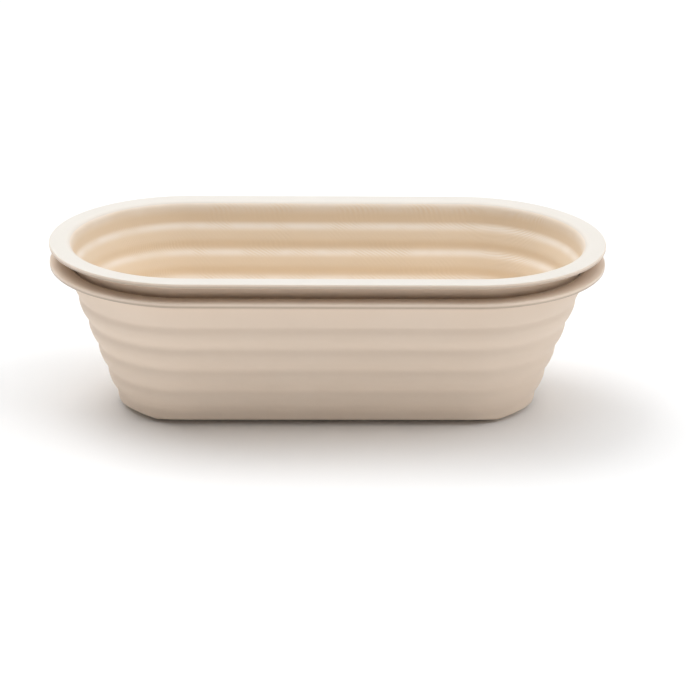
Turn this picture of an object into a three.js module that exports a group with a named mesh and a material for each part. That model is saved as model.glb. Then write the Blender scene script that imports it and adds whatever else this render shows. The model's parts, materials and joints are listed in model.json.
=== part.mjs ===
// Proofing basket: two identical long oval mouldings of wood pulp, stored one inside the other.
// Millimetres, +Z up. The origin is the middle of the lower basket's footprint.

import * as THREE from "three";
import { mergeVertices } from "three/addons/utils/BufferGeometryUtils.js";

// Driving dimensions of one basket
const RIM_LENGTH = 280;
const RIM_WIDTH = 140;
const BASKET_HEIGHT = 77;
const BASE_WIDTH = 71.2; // where the mean wall, without its ribs, would meet the table
const WALL = 2.2; // square to the mean wall
const FLOOR = 2.2;
const FLANGE_OVERHANG = 7.6; // past the outside of the wall
const FLANGE_THICKNESS = 2.2;
const RIM_BREADTH = 11; // from the flange's edge to the inside of the wall, without the lip's round

// Ribs: waves that run all the way round the wall, rounder on their crests than in their grooves.
// Above the topmost groove of each face the wall is plain, as a collar below the rim.
const RIB_COUNT = 4; // whole crests outside
const RIB_PITCH = 13; // upright, from crest to crest
const RIB_DEPTH = 1.1; // from crest to groove
const LOWEST_CREST = 14.5; // height of the lowest whole crest above the table
const GROOVE_DEPTH = 0.13; // how far the grooves are drawn out beyond an even wave, on both faces

// Undercut: a flat facet along the foot of each long side, which runs out on the round ends
const UNDERCUT_RISE = 2.9; // for each reach out from where it starts
const UNDERCUT_REACH = 8.5; // from where it starts, under the base, to the wall's foot

// Rounded corners of the section
const BASE_ROUND = 2; // outside, from the wall to the underside
const FLOOR_ROUND = 8; // inside, from the wall to the floor
const LIP_ROUND = 2.8; // inside, from the wall to the flat of the rim
const FLANGE_ROUND = 2; // below the flange, where it leaves the wall
const EDGE_ROUND = 0.7; // upper and lower corners of the flange's edge

// How the two baskets fit
const NEST_CLEARANCE = 0.35; // between the two walls, square to the mean wall

// Facets
const END_STEPS = 16; // round each half-round end
const RIB_STEPS = 6; // along each rib
const ROUND_STEPS = 3; // round each corner

// Sizes that follow
const rimRadius = RIM_WIDTH / 2;
const halfStraight = RIM_LENGTH / 2 - rimRadius;
const flangeUnderside = BASKET_HEIGHT - FLANGE_THICKNESS;
const baseRadius = BASE_WIDTH / 2;
const wallTopRadius = rimRadius - FLANGE_OVERHANG;
const wallSlope = (wallTopRadius - baseRadius) / flangeUnderside;
const acrossWall = Math.hypot(1, wallSlope); // level distance for each unit square to the wall
const lipRadius = rimRadius - RIM_BREADTH;
const lipFoot = BASKET_HEIGHT - LIP_ROUND;
const flangeFoot = flangeUnderside - FLANGE_ROUND;
const outerCollarFoot = Math.min(LOWEST_CREST + (RIB_COUNT - 0.5) * RIB_PITCH, flangeFoot);
const innerCollarFoot = Math.min(LOWEST_CREST + RIB_COUNT * RIB_PITCH, lipFoot);

/** How far round its wave a rib is at a height, from one crest to the next. */
function ribTurn(height) {
  return (2 * Math.PI * (height - LOWEST_CREST)) / RIB_PITCH;
}

/** Mean radius of the outside of the ribbed wall at a height, measured from the oval's middle line. */
function waveRadius(height) {
  return baseRadius + wallSlope * height + (RIB_DEPTH / 2) * Math.cos(ribTurn(height));
}

/** Outside radius of the ribs, whose grooves are drawn inwards. */
function outerRibRadius(height) {
  return waveRadius(height) - GROOVE_DEPTH * Math.cos(2 * ribTurn(height));
}

/** Inside radius of the ribs, whose grooves lie behind the outer crests and are drawn outwards. */
function innerRibRadius(height) {
  return waveRadius(height) - WALL * acrossWall + GROOVE_DEPTH * Math.cos(2 * ribTurn(height));
}

/** Outside radius of the wall: ribs, then the collar, straight up to the flange. */
function outerRadius(height) {
  if (height <= outerCollarFoot) return outerRibRadius(height);
  const share = (height - outerCollarFoot) / (flangeUnderside - outerCollarFoot);
  return THREE.MathUtils.lerp(outerRibRadius(outerCollarFoot), wallTopRadius, share);
}

/** Inside radius of the wall: ribs, then the collar, straight up to the rim. */
function innerRadius(height) {
  if (height <= innerCollarFoot) return innerRibRadius(height);
  const share = (height - innerCollarFoot) / (BASKET_HEIGHT - innerCollarFoot);
  return THREE.MathUtils.lerp(innerRibRadius(innerCollarFoot), lipRadius, share);
}

/** Inside radius where a nested basket may touch: the wall, and above it the lip's round. */
function nestingRadius(height) {
  if (height <= lipFoot) return innerRadius(height);
  const share = Math.sqrt((BASKET_HEIGHT - height) / LIP_ROUND);
  const above = THREE.MathUtils.lerp(lipRadius + LIP_ROUND, lipRadius, share);
  const below = THREE.MathUtils.lerp(lipRadius, innerRadius(lipFoot), share);
  return THREE.MathUtils.lerp(above, below, share);
}

/** Height of the underside at a distance from the long middle plane, lifted by the undercuts. */
function undercutHeight(across) {
  const undercutStart = outerRadius(0) - UNDERCUT_REACH;
  return (Math.max(0, Math.abs(across) - undercutStart) * UNDERCUT_RISE) / UNDERCUT_REACH;
}

/** Draws one ribbed side of the wall as short lines from one height to another. */
function drawRibs(outline, radiusAt, from, to) {
  const steps = Math.ceil((Math.abs(to - from) * RIB_STEPS) / RIB_PITCH);
  for (let step = 0; step <= steps; step += 1) {
    const height = THREE.MathUtils.lerp(from, to, step / steps);
    outline.lineTo(radiusAt(height), height);
  }
}

/** Section of the moulding, from the middle of its underside round the rim to the middle of its floor. */
function basketSection() {
  const outline = new THREE.Path();
  outline.moveTo(0, 0);

  outline.lineTo(outerRadius(0) - UNDERCUT_REACH, 0);
  outline.lineTo(outerRadius(0) - BASE_ROUND, 0);
  outline.quadraticCurveTo(outerRadius(0), 0, outerRadius(BASE_ROUND), BASE_ROUND);
  drawRibs(outline, outerRadius, BASE_ROUND, outerCollarFoot);

  outline.lineTo(outerRadius(flangeFoot), flangeFoot);
  outline.quadraticCurveTo(wallTopRadius, flangeUnderside, wallTopRadius + FLANGE_ROUND, flangeUnderside);
  outline.lineTo(rimRadius - EDGE_ROUND, flangeUnderside);
  outline.quadraticCurveTo(rimRadius, flangeUnderside, rimRadius, flangeUnderside + EDGE_ROUND);
  outline.lineTo(rimRadius, BASKET_HEIGHT - EDGE_ROUND);
  outline.quadraticCurveTo(rimRadius, BASKET_HEIGHT, rimRadius - EDGE_ROUND, BASKET_HEIGHT);

  outline.lineTo(lipRadius + LIP_ROUND, BASKET_HEIGHT);
  outline.quadraticCurveTo(lipRadius, BASKET_HEIGHT, innerRadius(lipFoot), lipFoot);
  drawRibs(outline, innerRadius, innerCollarFoot, FLOOR + FLOOR_ROUND);
  outline.quadraticCurveTo(innerRadius(FLOOR), FLOOR, innerRadius(FLOOR) - FLOOR_ROUND, FLOOR);

  outline.lineTo(0, FLOOR);
  return outline.getPoints(ROUND_STEPS);
}

/** Carries a section round the long oval and closes it on the middle line. */
function sweepRoundOval(section) {
  const positions = [];
  for (const { x: radius, y: height } of section) {
    for (const end of [1, -1]) {
      for (let step = 0; step <= END_STEPS; step += 1) {
        const angle = Math.PI * (step / END_STEPS - 0.5);
        const along = halfStraight + radius * Math.cos(angle);
        const across = radius * Math.sin(angle);
        positions.push(end * along, end * across, Math.max(height, undercutHeight(across)));
      }
    }
  }

  const ring = 2 * (END_STEPS + 1);
  const corners = [];
  for (let row = 0; row + 1 < section.length; row += 1) {
    for (let place = 0; place < ring; place += 1) {
      const here = row * ring + place;
      const next = row * ring + ((place + 1) % ring);
      corners.push(here, next, next + ring);
      corners.push(here, next + ring, here + ring);
    }
  }

  const loose = new THREE.BufferGeometry();
  loose.setAttribute("position", new THREE.Float32BufferAttribute(positions, 3));
  loose.setIndex(corners);
  return dropFlatTriangles(mergeVertices(loose));
}

/** Leaves out the triangles that shrank to a line where the section reaches the middle line. */
function dropFlatTriangles(geometry) {
  const corners = geometry.getIndex().array;
  const kept = [];
  for (let first = 0; first < corners.length; first += 3) {
    const triangle = corners.slice(first, first + 3);
    if (new Set(triangle).size === 3) kept.push(...triangle);
  }
  geometry.setIndex(kept);
  geometry.computeVertexNormals();
  return geometry;
}

/** Least gap between two nested walls, square to the wall, at a given rise of one above the other. */
function nestGap(rise) {
  const spacing = 0.2; // between the heights that are compared
  let least = Infinity;
  for (let height = BASE_ROUND; height + rise <= BASKET_HEIGHT; height += spacing) {
    least = Math.min(least, nestingRadius(height + rise) - outerRadius(height));
  }
  return least / acrossWall;
}

/** Rise of the upper basket: it is let down until its wall is one clearance from the lower one. */
function nestRise() {
  const step = 0.01;
  let rise = BASKET_HEIGHT / 2;
  while (nestGap(rise - step) >= NEST_CLEARANCE) rise -= step;
  return rise;
}

/** Dry moulded wood pulp: dead matt and pale tan. */
function woodPulp() {
  return new THREE.MeshStandardMaterial({ color: 0xdcc6ae, roughness: 0.9, metalness: 0 });
}

const basketShape = sweepRoundOval(basketSection());

const lowerBasket = new THREE.Mesh(basketShape, woodPulp());
lowerBasket.name = "lower_basket";

const upperBasket = new THREE.Mesh(basketShape, woodPulp());
upperBasket.name = "upper_basket";
upperBasket.position.z = nestRise();

const stack = new THREE.Group();
stack.add(lowerBasket, upperBasket);

export default stack;
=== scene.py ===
"""Looks of two nested long oval proofing baskets of wood pulp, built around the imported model.

The sizes of the baskets and the camera's place are in millimetres, and become metres where the mesh or
the camera is made. Those of the floor and the lamps are in metres.
"""

from __future__ import annotations

import json
import logging
import math
from collections.abc import Callable
from dataclasses import dataclass, field
from enum import Enum
from typing import Any

import bpy
from mathutils import Matrix, Vector

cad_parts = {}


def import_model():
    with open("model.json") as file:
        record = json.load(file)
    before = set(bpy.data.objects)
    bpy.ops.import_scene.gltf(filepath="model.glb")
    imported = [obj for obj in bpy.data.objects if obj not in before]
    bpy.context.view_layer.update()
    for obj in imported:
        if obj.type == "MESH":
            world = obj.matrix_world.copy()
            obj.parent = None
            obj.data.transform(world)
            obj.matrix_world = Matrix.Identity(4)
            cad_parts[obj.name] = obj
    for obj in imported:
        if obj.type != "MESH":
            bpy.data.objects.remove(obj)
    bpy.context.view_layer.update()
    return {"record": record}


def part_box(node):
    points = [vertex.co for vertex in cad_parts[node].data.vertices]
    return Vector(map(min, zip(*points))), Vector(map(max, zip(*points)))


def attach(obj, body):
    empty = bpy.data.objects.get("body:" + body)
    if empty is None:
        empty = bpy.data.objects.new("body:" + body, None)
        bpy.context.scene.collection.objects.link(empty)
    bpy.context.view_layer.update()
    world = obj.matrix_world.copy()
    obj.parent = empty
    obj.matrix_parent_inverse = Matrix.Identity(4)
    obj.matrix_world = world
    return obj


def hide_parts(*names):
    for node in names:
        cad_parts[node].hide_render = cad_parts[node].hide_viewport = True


LOG = logging.getLogger("proofing_baskets")
MM = 0.001
WHITE = "#ffffff"

# Each basket's node and body, and how far its rim lies in the light and gets a painted highlight
BASKETS = (("lower_basket", "lower", 0.3), ("upper_basket", "upper", 1.0))

# Marks that a mesh carries for its finish
# The first mark is a highlight painted where light from above falls hardest: the lit rim, the lip's foot
# and the ledges inside
PAINTED_HIGHLIGHT = "pressed"
# The second mark is painted shade under and along the flanges and in the crevice between the baskets, and
# flour dirt on the floor
DUST_AND_SHADE = "dusty"

# Sockets of a Mix node for colours, which go by number because other kinds of value share their names
MIX_FIRST = 6
MIX_SECOND = 7
MIX_RESULT = 2

# Radians by which a wave texture of scale 1 turns in each metre
WAVE_RATE = 20.0


class Zone(Enum):
    """Stretch of a basket's skin, by the tool that shaped it."""

    FELT_SIDE = 0
    RIM = 1
    MESH_SIDE = 2


def linear(hex_colour: str) -> tuple[float, float, float, float]:
    """Turns an sRGB hex colour into a linear one.

    Args:
        hex_colour: Six hex digits after a hash sign.

    Returns:
        Linear red, green and blue, and an alpha of 1.
    """
    channels = [int(hex_colour[start : start + 2], 16) / 255 for start in (1, 3, 5)]
    red, green, blue = (
        value / 12.92 if value <= 0.04045 else ((value + 0.055) / 1.055) ** 2.4 for value in channels
    )
    return red, green, blue, 1.0


def add_node(
    tree: bpy.types.NodeTree, kind: str, inputs: dict[str | int, Any] | None = None, **settings: Any
) -> bpy.types.Node:
    """Adds a shader node with its settings and links.

    Args:
        tree: Node tree that gets the node.
        kind: Blender's name for the node's type.
        inputs: Input socket to a value, or to the output socket that feeds it.
        **settings: Properties of the node itself.

    Returns:
        The new node.
    """
    node = tree.nodes.new(kind)
    for name, value in settings.items():
        setattr(node, name, value)
    for socket, value in (inputs or {}).items():
        if isinstance(value, bpy.types.NodeSocket):
            tree.links.new(value, node.inputs[socket])
        else:
            node.inputs[socket].default_value = value
    return node


def seen_share(tree: bpy.types.NodeTree) -> bpy.types.NodeSocket:
    """Picks out the rays that show the background: from the camera, off a gloss and through glass.

    Args:
        tree: Node tree that gets the nodes.

    Returns:
        1 for such a ray, and 0 for a ray that lights the object.
    """
    rays = add_node(tree, "ShaderNodeLightPath").outputs
    shiny = add_node(
        tree,
        "ShaderNodeMath",
        {0: rays["Is Glossy Ray"], 1: rays["Is Transmission Ray"]},
        operation="MAXIMUM",
    )
    return add_node(
        tree, "ShaderNodeMath", {0: rays["Is Camera Ray"], 1: shiny.outputs[0]}, operation="MAXIMUM"
    ).outputs[0]


def new_material(name: str) -> bpy.types.Material:
    """Makes an empty node material.

    Args:
        name: Name of the material.

    Returns:
        The new material, with no nodes yet.
    """
    material = bpy.data.materials.new(name)
    material.use_nodes = True
    material.node_tree.nodes.clear()
    return material


# Pulp that dried against felt has no skin, so light sinks in and scatters: the eye sees a matt, warm and
# pale face with faint clouds, and only a soft bloom at a low angle.
@dataclass(frozen=True)
class WoodPulp:
    """Moulded wood pulp, felt side: matt and pale tan, faintly cloudy, with a soft fibrous grain.

    Attributes:
        name: Name of the material.
        colour: Pulp's own colour.
        cloud_colour: Colour of the clouds where its fibres lie denser.
        pressed_colour: Colour painted on as a highlight where the light from above falls hardest.
        dusty_colour: Painted shade under the flange, on its edge and in crevices; flour dirt on the
            floor.
        cloud_mm: Size of the clouds.
        cloud_detail: Octaves of finer unevenness in the clouds.
        grain_mm: Size of the fibre clumps. Single fibres, under 0.1 mm wide, would be too fine to show.
        grain_detail: Octaves of finer unevenness in the clumps.
        grain_depth_mm: Height of that grain.
        print_depth: How far the grain keeps the painted highlight off, from 0 to 1.
        roughness: Mean roughness.
        roughness_spread: How far the roughness strays to each side.
        sheen: Weight of the soft sheen that loose fibres give at a low angle.
        ior: Index of refraction, about that of cellulose.
    """

    name: str = "moulded_wood_pulp_felt_side"
    colour: str = "#fdead7"
    cloud_colour: str = "#fae5d0"
    pressed_colour: str = "#e5e0d8"
    dusty_colour: str = "#a08870"
    cloud_mm: float = 40.0
    cloud_detail: float = 4.0
    grain_mm: float = 1.1
    grain_detail: float = 3.0
    grain_depth_mm: float = 0.03
    print_depth: float = 0.0
    roughness: float = 0.8
    roughness_spread: float = 0.06
    sheen: float = 0.15
    ior: float = 1.47

    def grain(self, tree: bpy.types.NodeTree) -> bpy.types.NodeSocket:
        """Adds the fibrous grain of the felt side.

        Args:
            tree: Tree of the material.

        Returns:
            Height of the grain, from 0 to 1.
        """
        place = add_node(tree, "ShaderNodeTexCoord").outputs["Object"]
        fibres = add_node(
            tree,
            "ShaderNodeTexNoise",
            {"Vector": place, "Scale": 1 / (self.grain_mm * MM), "Detail": self.grain_detail},
        )
        return fibres.outputs["Fac"]

    def tint(
        self, tree: bpy.types.NodeTree, clouds: bpy.types.NodeSocket, grain: bpy.types.NodeSocket
    ) -> bpy.types.NodeSocket:
        """Mixes the pulp's colours: clouds first, then the painted highlight, then painted shade and
        flour dirt.

        Args:
            tree: Tree of the material.
            clouds: How dense the fibres are, from 0 to 1.
            grain: Height of the grain, from 0 to 1.

        Returns:
            The mixed colour.
        """
        pressed = add_node(tree, "ShaderNodeAttribute", attribute_name=PAINTED_HIGHLIGHT)
        dusty = add_node(tree, "ShaderNodeAttribute", attribute_name=DUST_AND_SHADE)
        reached = add_node(
            tree, "ShaderNodeMapRange", {"Value": grain, "To Min": 1.0, "To Max": 1.0 - self.print_depth}
        )
        highlight_share = add_node(
            tree,
            "ShaderNodeMath",
            {0: pressed.outputs["Fac"], 1: reached.outputs["Result"]},
            operation="MULTIPLY",
        )
        mixed: Any = linear(self.colour)
        layers = (
            (clouds, self.cloud_colour),
            (highlight_share.outputs[0], self.pressed_colour),
            (dusty.outputs["Fac"], self.dusty_colour),
        )
        for share, colour in layers:
            mixed = add_node(
                tree,
                "ShaderNodeMix",
                {"Factor": share, MIX_FIRST: mixed, MIX_SECOND: linear(colour)},
                data_type="RGBA",
            ).outputs[MIX_RESULT]
        return mixed

    def material(self) -> bpy.types.Material:
        """Builds the finish as a node material.

        Returns:
            The new material.
        """
        material = new_material(self.name)
        tree = material.node_tree
        place = add_node(tree, "ShaderNodeTexCoord").outputs["Object"]
        clouds = add_node(
            tree,
            "ShaderNodeTexNoise",
            {"Vector": place, "Scale": 1 / (self.cloud_mm * MM), "Detail": self.cloud_detail},
        ).outputs["Fac"]
        grain = self.grain(tree)
        relief = add_node(
            tree,
            "ShaderNodeBump",
            {"Height": grain, "Distance": self.grain_depth_mm * MM, "Strength": 1.0},
        )
        roughness = add_node(
            tree,
            "ShaderNodeMapRange",
            {
                "Value": clouds,
                "To Min": self.roughness - self.roughness_spread,
                "To Max": self.roughness + self.roughness_spread,
            },
        )
        surface = add_node(
            tree,
            "ShaderNodeBsdfPrincipled",
            {
                "Base Color": self.tint(tree, clouds, grain),
                "Roughness": roughness.outputs["Result"],
                "IOR": self.ior,
                "Sheen Weight": self.sheen,
                "Normal": relief.outputs["Normal"],
            },
        )
        add_node(tree, "ShaderNodeOutputMaterial", {"Surface": surface.outputs["BSDF"]})
        return material


# Pressing lays the fibres flat: the eye sees an even face with a soft sheen and hardly any grain, which
# looks paler than the wall because it lies in the light from above; on its lit top a less warm colour is
# painted as a highlight.
@dataclass(frozen=True)
class PressedPulp(WoodPulp):
    """Wood pulp of the rim, which the mould presses hard while damp: denser and smoother than the wall.
    """

    name: str = "moulded_wood_pulp_pressed_rim"
    grain_depth_mm: float = 0.015
    roughness: float = 0.6
    sheen: float = 0.3


# Wires leave shallow hollows: the eye sees fine slanted lines on a warm tan, clearest on the pale ledges
# that face the light and carry a painted highlight, in patches that fade where the face is worn smooth.
@dataclass(frozen=True)
class MeshSidePulp(WoodPulp):
    """Wood pulp that lay on the mould's wire mesh, whose wires stay faintly printed in the face.

    Attributes:
        wire_mm: Distance between wires, seen from above. It is drawn about twice as coarse as a real
            mesh, whose print would be too fine to show.
        heading: Direction across the wires in degrees, seen from above.
        unevenness: How far the printed wires stray from straight.
        stray_scale: How quickly they stray, against their own spacing.
        patch_mm: Size of the patches in which the print is clear; between them it is worn smooth.
        patch_detail: Octaves of finer unevenness in the patches.
        worn_level: Level of the patches' noise up to which the print is gone.
        clear_level: Level from which the print is whole.
    """

    name: str = "moulded_wood_pulp_mesh_side"
    colour: str = "#f4e3cc"
    cloud_colour: str = "#f1dfc6"
    pressed_colour: str = "#fdf3e7"
    print_depth: float = 0.8
    wire_mm: float = 0.85
    heading: float = 71.5
    unevenness: float = 1.6
    stray_scale: float = 0.3
    patch_mm: float = 18.0
    patch_detail: float = 2.0
    worn_level: float = 0.4
    clear_level: float = 0.65

    def grain(self, tree: bpy.types.NodeTree) -> bpy.types.NodeSocket:
        """Adds the printed wires, which slant down to the right on the long far wall.

        Args:
            tree: Tree of the material.

        Returns:
            Height of the grain, from 0 to 1.
        """
        place = add_node(tree, "ShaderNodeTexCoord").outputs["Object"]
        turned = add_node(
            tree,
            "ShaderNodeVectorRotate",
            {"Vector": place, "Angle": -math.radians(self.heading)},
            rotation_type="Z_AXIS",
        )
        wires = add_node(
            tree,
            "ShaderNodeTexWave",
            {
                "Vector": turned.outputs[0],
                "Scale": 2 * math.pi / WAVE_RATE / (self.wire_mm * MM),
                "Distortion": self.unevenness,
                "Detail Scale": self.stray_scale,
            },
            bands_direction="X",
        )
        patches = add_node(
            tree,
            "ShaderNodeTexNoise",
            {"Vector": place, "Scale": 1 / (self.patch_mm * MM), "Detail": self.patch_detail},
        ).outputs["Fac"]
        clear = add_node(
            tree,
            "ShaderNodeMapRange",
            {"Value": patches, "From Min": self.worn_level, "From Max": self.clear_level},
        )
        return add_node(
            tree,
            "ShaderNodeMath",
            {0: wires.outputs["Fac"], 1: clear.outputs["Result"]},
            operation="MULTIPLY",
        ).outputs[0]


@dataclass(frozen=True)
class SectionPoint:
    """Point of the section that is carried round the oval.

    Attributes:
        radius: Distance from the oval's middle line.
        height: Height above the basket's own underside.
        zone: Stretch of skin that starts here.
        pressed: How far a highlight is painted on the skin here, from 0 to 1.
        dusty: How far painted shade, or flour dirt on the floor, darkens the skin here, from 0 to 1.
    """

    radius: float
    height: float
    zone: Zone
    pressed: float = 0.0
    dusty: float = 0.0


@dataclass
class SectionPath:
    """Section of a moulding, drawn point by point.

    Attributes:
        round_steps: Facets round each corner.
        points: Points drawn so far.
    """

    round_steps: int
    points: list[SectionPoint] = field(default_factory=list)

    def corner(
        self,
        start: tuple[float, float],
        middle: tuple[float, float],
        end: tuple[float, float],
        zone: Zone,
        end_zone: Zone | None = None,
        **marks: tuple[float, float],
    ) -> None:
        """Draws a rounded corner.

        Args:
            start: Radius and height where it starts.
            middle: Radius and height of the sharp corner that it rounds.
            end: Radius and height where it ends.
            zone: Stretch of skin that it belongs to.
            end_zone: Stretch that its second half belongs to, where that is another.
            **marks: For each mark, its share at the start and at the end.
        """
        for step in range(self.round_steps + 1):
            t = step / self.round_steps
            radius, height = (
                (1 - t) ** 2 * start[axis] + 2 * t * (1 - t) * middle[axis] + t * t * end[axis]
                for axis in range(2)
            )
            shares = {name: first + (last - first) * t for name, (first, last) in marks.items()}
            here = zone if t < 0.5 else end_zone or zone
            self.points.append(SectionPoint(radius, height, here, **shares))

    def wall(
        self,
        radius_at: Callable[[float], float],
        heights: list[float],
        zone: Zone,
        **marks_at: Callable[[float], float],
    ) -> None:
        """Draws the wall at some heights.

        Args:
            radius_at: Gives the wall's radius at a height.
            heights: Heights of the points.
            zone: Stretch of skin that they belong to.
            **marks_at: For each mark, what gives its share at a height.
        """
        for height in heights:
            shares = {name: mark_at(height) for name, mark_at in marks_at.items()}
            self.points.append(SectionPoint(radius_at(height), height, zone, **shares))


@dataclass
class ProofingBasket:
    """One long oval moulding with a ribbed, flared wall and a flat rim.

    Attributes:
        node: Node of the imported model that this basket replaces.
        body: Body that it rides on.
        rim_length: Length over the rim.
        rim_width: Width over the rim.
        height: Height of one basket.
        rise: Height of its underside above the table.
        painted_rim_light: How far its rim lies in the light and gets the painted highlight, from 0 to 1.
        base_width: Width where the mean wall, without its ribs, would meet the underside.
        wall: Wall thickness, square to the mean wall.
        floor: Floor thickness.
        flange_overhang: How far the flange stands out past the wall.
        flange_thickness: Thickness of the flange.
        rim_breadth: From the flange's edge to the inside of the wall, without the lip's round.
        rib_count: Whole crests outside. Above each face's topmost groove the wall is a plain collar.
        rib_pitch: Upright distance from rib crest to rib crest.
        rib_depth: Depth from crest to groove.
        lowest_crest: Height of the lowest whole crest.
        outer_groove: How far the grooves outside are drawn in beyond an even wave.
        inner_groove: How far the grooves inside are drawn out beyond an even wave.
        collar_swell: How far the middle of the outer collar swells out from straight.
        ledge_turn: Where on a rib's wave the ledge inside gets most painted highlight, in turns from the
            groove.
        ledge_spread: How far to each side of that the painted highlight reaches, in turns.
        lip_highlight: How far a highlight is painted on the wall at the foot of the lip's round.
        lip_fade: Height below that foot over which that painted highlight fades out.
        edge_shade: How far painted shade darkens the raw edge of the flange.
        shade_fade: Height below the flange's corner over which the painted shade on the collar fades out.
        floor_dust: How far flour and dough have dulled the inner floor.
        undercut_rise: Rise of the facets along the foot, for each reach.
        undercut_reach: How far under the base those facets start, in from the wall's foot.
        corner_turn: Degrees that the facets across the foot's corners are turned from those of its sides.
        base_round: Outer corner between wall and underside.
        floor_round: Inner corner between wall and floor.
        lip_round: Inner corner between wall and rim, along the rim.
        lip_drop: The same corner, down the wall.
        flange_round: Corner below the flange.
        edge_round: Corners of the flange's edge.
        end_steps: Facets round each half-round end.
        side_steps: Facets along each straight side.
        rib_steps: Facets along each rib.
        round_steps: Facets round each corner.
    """

    node: str
    body: str
    rim_length: float
    rim_width: float
    height: float
    rise: float
    painted_rim_light: float
    base_width: float = 71.2
    wall: float = 2.2
    floor: float = 2.2
    flange_overhang: float = 7.6
    flange_thickness: float = 2.2
    rim_breadth: float = 11.0
    rib_count: int = 4
    rib_pitch: float = 13.0
    rib_depth: float = 1.1
    lowest_crest: float = 14.5
    outer_groove: float = 0.1
    inner_groove: float = 0.13
    collar_swell: float = 0.25
    ledge_turn: float = -0.155
    ledge_spread: float = 0.21
    lip_highlight: float = 0.7
    lip_fade: float = 3.0
    edge_shade: float = 0.45
    shade_fade: float = 2.0
    floor_dust: float = 0.35
    undercut_rise: float = 2.9
    undercut_reach: float = 8.5
    corner_turn: float = 52.0
    base_round: float = 2.0
    floor_round: float = 8.0
    lip_round: float = 3.6
    lip_drop: float = 4.0
    flange_round: float = 2.0
    edge_round: float = 0.7
    end_steps: int = 64
    side_steps: int = 32
    rib_steps: int = 20
    round_steps: int = 8
    piece: bpy.types.Object | None = field(default=None, init=False)

    @classmethod
    def from_frame(cls, node: str, body: str, painted_rim_light: float) -> ProofingBasket:
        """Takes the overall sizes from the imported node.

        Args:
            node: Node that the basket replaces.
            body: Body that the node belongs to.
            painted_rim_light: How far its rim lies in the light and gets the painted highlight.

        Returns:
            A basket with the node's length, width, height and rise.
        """
        low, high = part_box(node)
        length, width, height = ((high[axis] - low[axis]) / MM for axis in range(3))
        return cls(node, body, length, width, height, low[2] / MM, painted_rim_light)

    @property
    def rim_radius(self) -> float:
        """Radius of the rim's half-round ends."""
        return self.rim_width / 2

    @property
    def half_straight(self) -> float:
        """Half the length of the straight sides."""
        return self.rim_length / 2 - self.rim_radius

    @property
    def flange_underside(self) -> float:
        """Height of the flange's underside."""
        return self.height - self.flange_thickness

    @property
    def wall_top_radius(self) -> float:
        """Outside radius of the wall where it meets the flange."""
        return self.rim_radius - self.flange_overhang

    @property
    def lip_radius(self) -> float:
        """Inside radius of the wall where it meets the flat of the rim."""
        return self.rim_radius - self.rim_breadth

    @property
    def outer_collar_foot(self) -> float:
        """Height of the topmost groove outside."""
        return self.lowest_crest + (self.rib_count - 0.5) * self.rib_pitch

    @property
    def inner_collar_foot(self) -> float:
        """Height of the topmost groove inside."""
        return self.lowest_crest + self.rib_count * self.rib_pitch

    @property
    def wall_slope(self) -> float:
        """How far the mean wall leans out for each unit of height."""
        return (self.wall_top_radius - self.base_width / 2) / self.flange_underside

    @property
    def dust(self) -> float:
        """Share of painted shade in its shaded places, under its flange and where another nests in it: 1
        less its rim light.
        """
        return 1.0 - self.painted_rim_light

    def collar_shade(self, height: float) -> float:
        """Painted shade on the outer collar, fading out below the flange."""
        below = self.flange_underside - self.flange_round - height
        return self.dust * max(0.0, 1 - below / self.shade_fade)

    def rib_turn(self, height: float) -> float:
        """How far round its wave a rib is at a height, from one crest to the next."""
        return 2 * math.pi * (height - self.lowest_crest) / self.rib_pitch

    def wave_radius(self, height: float) -> float:
        """Outside radius of the wall at a height, with its ribs as an even wave."""
        wave = self.rib_depth / 2 * math.cos(self.rib_turn(height))
        return self.base_width / 2 + self.wall_slope * height + wave

    def outer_radius(self, height: float) -> float:
        """Outside radius of the wall: ribs with grooves drawn inwards, then the collar.

        Args:
            height: Height above the underside.

        Returns:
            The radius there.
        """
        foot = self.outer_collar_foot
        ribbed = min(height, foot)
        radius = self.wave_radius(ribbed) - self.outer_groove * math.cos(2 * self.rib_turn(ribbed))
        share = (height - ribbed) / (self.flange_underside - foot)
        swell = self.collar_swell * math.sin(math.pi * share)
        return radius + (self.wall_top_radius - radius) * share + swell

    def inner_radius(self, height: float) -> float:
        """Inside radius of the wall: ribs with grooves behind the outer crests, then the collar.

        Args:
            height: Height above the underside.

        Returns:
            The radius there.
        """
        foot = self.inner_collar_foot
        ribbed = min(height, foot)
        groove = self.inner_groove * math.cos(2 * self.rib_turn(ribbed))
        radius = self.wave_radius(ribbed) - self.wall * math.hypot(1, self.wall_slope) + groove
        share = (height - ribbed) / (self.height - foot)
        return radius + (self.lip_radius - radius) * share

    def inner_highlight(self, height: float) -> float:
        """How far a highlight is painted inside: below the lip, and along the ledges under the grooves
        that face the light.

        Args:
            height: Height above the underside.

        Returns:
            A share from 0 to 1.
        """
        foot = self.inner_collar_foot
        if height > foot:
            below = self.height - self.lip_drop - height
            return self.lip_highlight * max(0.0, 1 - below / self.lip_fade)
        turn = self.rib_turn(height) / (2 * math.pi) - self.ledge_turn
        away = abs(turn - round(turn)) / self.ledge_spread
        return 0.5 + 0.5 * math.cos(math.pi * min(away, 1.0))

    def undercut_height(self, along: float, across: float) -> float:
        """Height of the underside, lifted by flat facets along the foot's sides, ends and corners.

        Args:
            along: Distance past the end of the straight sides, along the oval.
            across: Distance from the long middle plane.

        Returns:
            The height there.
        """
        turn = math.radians(self.corner_turn)
        corner = abs(along) * math.sin(turn) + abs(across) * math.cos(turn)
        start = self.outer_radius(0) - self.undercut_reach
        past_start = max(abs(across), abs(along), corner) - start
        return max(0.0, past_start) * self.undercut_rise / self.undercut_reach

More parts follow.
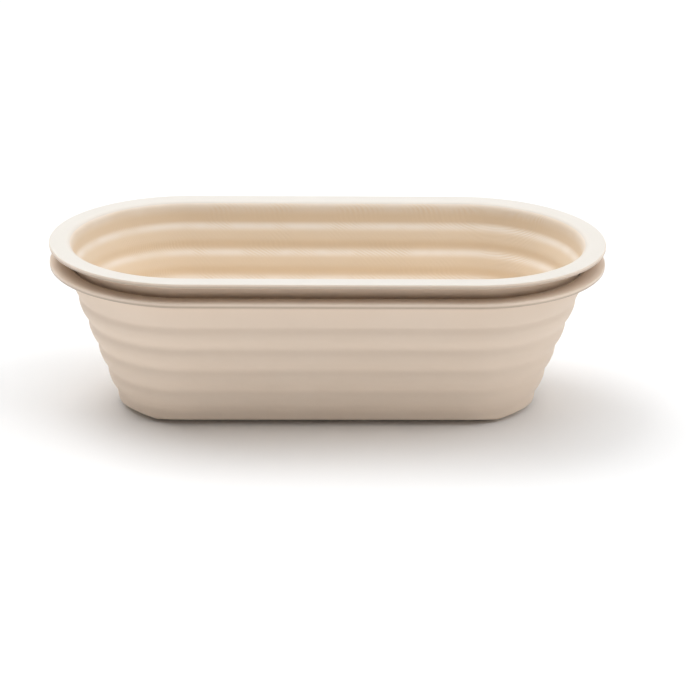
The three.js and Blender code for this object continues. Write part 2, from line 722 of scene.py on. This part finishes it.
    def levels(self, start: float, end: float) -> list[float]:
        """Spaces heights evenly from one to another.

        Args:
            start: First height, which is kept.
            end: Last height, which is left out.

        Returns:
            The heights in order.
        """
        steps = math.ceil(abs(end - start) * self.rib_steps / self.rib_pitch)
        return [start + (end - start) * step / steps for step in range(steps)]

    def section(self) -> list[SectionPoint]:
        """Follows the skin from the flat of the underside, over the rim, to the flat of the floor.

        Returns:
            The section's points in order.
        """
        under = self.flange_underside
        flange_foot = under - self.flange_round
        rim, top, edge = self.rim_radius, self.height, self.edge_round
        root, lip = self.wall_top_radius, self.lip_radius
        lip_foot = top - self.lip_drop
        lip_foot_radius = self.inner_radius(lip_foot)
        foot = self.outer_radius(0)
        base_top = self.base_round
        floor_edge = self.inner_radius(self.floor)
        floor_top = self.floor + self.floor_round

        # Underside, where the facets lift it, and the outside of the wall
        path = SectionPath(self.round_steps)
        for step in range(self.round_steps):
            share = step / self.round_steps
            reach = self.undercut_reach * (1 - share) + self.base_round * share
            path.points.append(SectionPoint(foot - reach, 0, Zone.FELT_SIDE))
        path.corner(
            (foot - base_top, 0), (foot, 0), (self.outer_radius(base_top), base_top), Zone.FELT_SIDE
        )
        path.wall(self.outer_radius, self.levels(base_top, self.outer_collar_foot)[1:], Zone.FELT_SIDE)
        collar = self.levels(self.outer_collar_foot, flange_foot)
        # The collar just under the flange gets painted shade
        path.wall(self.outer_radius, collar, Zone.FELT_SIDE, dusty=self.collar_shade)

        # Flange, from its root below round its edge to the lip
        # The flange's root gets painted shade
        path.corner(
            (self.outer_radius(flange_foot), flange_foot),
            (root, under),
            (root + self.flange_round, under),
            Zone.FELT_SIDE,
            dusty=(self.dust, self.dust),
        )
        # The flange's raw edge gets painted shade, darkest at its lower corner
        path.corner(
            (rim - edge, under),
            (rim, under),
            (rim, under + edge),
            Zone.RIM,
            dusty=(min(1.0, self.edge_shade + self.dust), self.edge_shade),
        )
        # The flat of the rim gets a painted highlight as far as it lies in the light
        path.corner(
            (rim, top - edge), (rim, top), (rim - edge, top), Zone.RIM, pressed=(0.0, self.painted_rim_light)
        )
        # The lip gets a painted highlight at its foot, and painted shade where another basket nests in it
        path.corner(
            (lip + self.lip_round, top),
            (lip, top),
            (lip_foot_radius, lip_foot),
            Zone.RIM,
            Zone.MESH_SIDE,
            pressed=(self.painted_rim_light, self.lip_highlight),
            dusty=(self.dust, self.dust),
        )

        # Inside of the wall, which draws the lip's last point again with its own marks, and the floor
        path.points.pop()
        # The inside gets a painted highlight below the lip and on the ledges that face the light
        for start, end in ((lip_foot, self.inner_collar_foot), (self.inner_collar_foot, floor_top)):
            path.wall(self.inner_radius, self.levels(start, end), Zone.MESH_SIDE, pressed=self.inner_highlight)
        path.corner(
            (self.inner_radius(floor_top), floor_top),
            (floor_edge, self.floor),
            (floor_edge - self.floor_round, self.floor),
            Zone.MESH_SIDE,
            dusty=(0.0, self.floor_dust),
        )
        return path.points

    def oval(self) -> list[tuple[float, float, float]]:
        """Follows the oval once, seen from above, against the clock.

        Returns:
            For each place, the x of its point on the middle line and the two parts of its way out.
        """
        places: list[tuple[float, float, float]] = []
        for end in (1, -1):
            for step in range(self.end_steps + 1):
                angle = math.pi * (step / self.end_steps - 0.5)
                places.append((end * self.half_straight, end * math.cos(angle), end * math.sin(angle)))
            for step in range(1, self.side_steps):
                along = end * self.half_straight * (1 - 2 * step / self.side_steps)
                places.append((along, 0.0, float(end)))
        return places

    def build(self) -> bpy.types.Object:
        """Makes the basket's mesh, with its painted highlight and its painted shade and flour dirt.

        Returns:
            The new object, standing where its node stands.
        """
        section = self.section()
        oval = self.oval()
        count = len(oval)
        vertices: list[Vector] = []
        for point in section:
            for x, out_x, out_y in oval:
                along, across = out_x * point.radius, out_y * point.radius
                height = self.rise + max(point.height, self.undercut_height(along, across))
                vertices.append(Vector((x + along, across, height)) * MM)
        faces: list[tuple[int, ...]] = []
        zones: list[int] = []
        for row in range(len(section) - 1):
            for place in range(count):
                here = row * count + place
                after = row * count + (place + 1) % count
                faces.append((here, after, after + count, here + count))
                zones.append(section[row].zone.value)
        last = (len(section) - 1) * count
        faces.append(tuple(reversed(range(count))))
        zones.append(Zone.FELT_SIDE.value)
        faces.append(tuple(range(last, last + count)))
        zones.append(Zone.MESH_SIDE.value)

        mesh = bpy.data.meshes.new(self.node + "_moulding")
        mesh.from_pydata(vertices, [], faces)
        mesh.polygons.foreach_set("material_index", zones)
        mesh.polygons.foreach_set("use_smooth", [True] * len(faces))
        for name in (PAINTED_HIGHLIGHT, DUST_AND_SHADE):
            marks = mesh.attributes.new(name, "FLOAT", "POINT")
            marks.data.foreach_set("value", [getattr(point, name) for point in section for _ in oval])
        mesh.validate()
        self.piece = bpy.data.objects.new(self.node + "_moulding", mesh)
        bpy.context.scene.collection.objects.link(self.piece)
        return self.piece

    def dress(self, finishes: dict[Zone, bpy.types.Material]) -> None:
        """Gives each zone of the skin its finish.

        Args:
            finishes: Material of each zone.
        """
        for zone in Zone:
            self.piece.data.materials.append(finishes[zone])

    def seat(self, slot: str) -> None:
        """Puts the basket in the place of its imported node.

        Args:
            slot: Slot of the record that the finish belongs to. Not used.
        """
        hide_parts(self.node)
        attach(self.piece, self.body)


# Uncoated paper scatters light evenly: the eye sees a plain white field that takes a soft shadow.
@dataclass(frozen=True)
class PaperFloor:
    """Seamless white paper floor.

    Attributes:
        name: Name of the floor and its material.
        colour: Paper's colour, a cool white.
        reach: Length of its sides in metres.
        lit_reach: Distance from its middle, in metres, up to which it is seen in the lamps' light.
        white_reach: Distance, in metres, from which it is seen as plain white.
    """

    name: str = "paper_floor"
    colour: str = "#fcfdfe"
    reach: float = 12.0
    lit_reach: float = 0.7
    white_reach: float = 1.4

    def build(self) -> bpy.types.Object:
        """Makes the floor with its paper.

        Returns:
            The floor object.
        """
        half = self.reach / 2
        mesh = bpy.data.meshes.new(self.name)
        corners = [(-half, -half, 0), (half, -half, 0), (half, half, 0), (-half, half, 0)]
        mesh.from_pydata(corners, [], [(0, 1, 2, 3)])
        floor = bpy.data.objects.new(self.name, mesh)
        bpy.context.scene.collection.objects.link(floor)
        mesh.materials.append(self.material())
        return floor

    def material(self) -> bpy.types.Material:
        """Builds the paper, a matt diffuse sheet that the camera sees as white where the lamps end.

        Returns:
            The new material.
        """
        material = new_material(self.name)
        tree = material.node_tree
        paper = add_node(tree, "ShaderNodeBsdfDiffuse", {"Color": linear(self.colour)})
        place = add_node(tree, "ShaderNodeTexCoord").outputs["Object"]
        away = add_node(tree, "ShaderNodeVectorMath", {0: place}, operation="LENGTH")
        far = add_node(
            tree,
            "ShaderNodeMapRange",
            {"Value": away.outputs["Value"], "From Min": self.lit_reach, "From Max": self.white_reach},
        )
        seen = add_node(
            tree,
            "ShaderNodeMath",
            {0: far.outputs["Result"], 1: seen_share(tree)},
            operation="MULTIPLY",
        )
        white = add_node(tree, "ShaderNodeEmission", {"Color": linear(WHITE), "Strength": 1.0})
        either = add_node(
            tree, "ShaderNodeMixShader", {0: seen.outputs[0], 1: paper.outputs[0], 2: white.outputs[0]}
        )
        add_node(tree, "ShaderNodeOutputMaterial", {"Surface": either.outputs[0]})
        return material


@dataclass(frozen=True)
class SoftLamp:
    """Square soft lamp that faces the baskets.

    Attributes:
        name: Name of the lamp.
        place: Where it hangs, in metres.
        side: Length of the sides of its square face, in metres.
        power: Power in watts.
        aim: Point that it faces, in metres.
        colour: Colour of its light.
    """

    name: str
    place: tuple[float, float, float]
    side: float
    power: float
    aim: tuple[float, float, float] = (0.0, 0.0, 0.0)
    colour: str = WHITE

    def build(self) -> bpy.types.Object:
        """Hangs the lamp.

        Returns:
            The lamp object.
        """
        light = bpy.data.lights.new(self.name, "AREA")
        light.shape = "SQUARE"
        light.size = self.side
        light.energy = self.power
        light.color = linear(self.colour)[:3]
        lamp = bpy.data.objects.new(self.name, light)
        lamp.location = self.place
        lamp.visible_camera = False
        facing = Vector(self.aim) - Vector(self.place)
        lamp.rotation_euler = facing.to_track_quat("-Z", "Y").to_euler()
        bpy.context.scene.collection.objects.link(lamp)
        return lamp


STUDIO_LAMPS = (
    SoftLamp("overhead_lamp", place=(-0.1, 0.0, 3.0), side=3.0, power=50.0),
    SoftLamp("back_lamp", place=(0.0, 1.93, 2.3), side=2.2, power=10.0),
    SoftLamp("left_lamp", place=(-1.35, 0.9, 2.55), side=2.2, power=38.0),
    SoftLamp("right_lamp", place=(1.85, -0.4, 2.2), side=2.2, power=30.0),
)


@dataclass(frozen=True)
class StudioAir:
    """Even light from the room all round, seen as white.

    Attributes:
        strength: Strength of the room's light on the object.
        colour: Colour of that light.
    """

    strength: float = 0.1
    colour: str = WHITE

    def build(self) -> bpy.types.World:
        """Makes the world.

        Returns:
            The new world, already in use.
        """
        world = bpy.data.worlds.new("studio_air")
        world.use_nodes = True
        tree = world.node_tree
        tree.nodes.clear()
        room = add_node(
            tree, "ShaderNodeBackground", {"Color": linear(self.colour), "Strength": self.strength}
        )
        white = add_node(tree, "ShaderNodeBackground", {"Color": linear(WHITE), "Strength": 1.0})
        either = add_node(
            tree, "ShaderNodeMixShader", {0: seen_share(tree), 1: room.outputs[0], 2: white.outputs[0]}
        )
        add_node(tree, "ShaderNodeOutputWorld", {"Surface": either.outputs[0]})
        bpy.context.scene.world = world
        return world


@dataclass(frozen=True)
class PhotoCamera:
    """Camera at the photograph's angle.

    Attributes:
        lens: Focal length for the sensor.
        sensor: Width of the sensor.
        aim: Point on its axis, in the baskets' frame.
        distance: Distance from that point.
        azimuth: Turn about the upright axis in degrees, against the clock from straight in front.
        elevation: Angle above level in degrees.
        roll: Turn about its own axis in degrees.
    """

    lens: float = 118.29
    sensor: float = 36.0
    aim: tuple[float, float, float] = (12.0, 8.6, 23.0)
    distance: float = 1190.7
    azimuth: float = -1.785
    elevation: float = 21.361
    roll: float = -0.763

    def build(self) -> bpy.types.Object:
        """Makes the camera and puts it to use.

        Returns:
            The camera object.
        """
        turn = math.radians(self.azimuth)
        rise = math.radians(self.elevation)
        right = Vector((math.cos(turn), math.sin(turn), 0))
        level_back = Vector((math.sin(turn), -math.cos(turn), 0))
        back = level_back * math.cos(rise) + Vector((0, 0, math.sin(rise)))
        up = back.cross(right)
        lean = math.radians(self.roll)
        rolled_right = right * math.cos(lean) - up * math.sin(lean)
        rolled_up = right * math.sin(lean) + up * math.cos(lean)
        lens = bpy.data.cameras.new("photo_camera")
        lens.sensor_width = self.sensor
        lens.lens = self.lens
        camera = bpy.data.objects.new("photo_camera", lens)
        axes = Matrix((rolled_right, rolled_up, back)).transposed().to_4x4()
        place = (Vector(self.aim) + back * self.distance) * MM
        camera.matrix_world = Matrix.Translation(place) @ axes
        bpy.context.scene.collection.objects.link(camera)
        bpy.context.scene.camera = camera
        return camera


def light_studio() -> None:
    """Sets the floor, the lamps, the room's light and the camera."""
    PaperFloor().build()
    StudioAir().build()
    for lamp in STUDIO_LAMPS:
        lamp.build()
    PhotoCamera().build()


def main() -> None:
    """Builds the baskets and the studio."""
    logging.basicConfig(level=logging.INFO, format="%(name)s: %(message)s")
    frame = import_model()
    bpy.context.scene.view_settings.view_transform = "Standard"
    light_studio()

    finishes = {
        Zone.FELT_SIDE: WoodPulp().material(),
        Zone.RIM: PressedPulp().material(),
        Zone.MESH_SIDE: MeshSidePulp().material(),
    }
    slots = {part["node"]: part["material_slot"] for part in frame["record"]["subparts"]}
    for node, body, painted_rim_light in BASKETS:
        basket = ProofingBasket.from_frame(node, body, painted_rim_light)
        piece = basket.build()
        basket.dress(finishes)
        basket.seat(slots[node])
        LOG.info("%s: %d faces on body %s", piece.name, len(piece.data.polygons), body)


if __name__ == "__main__":
    main()
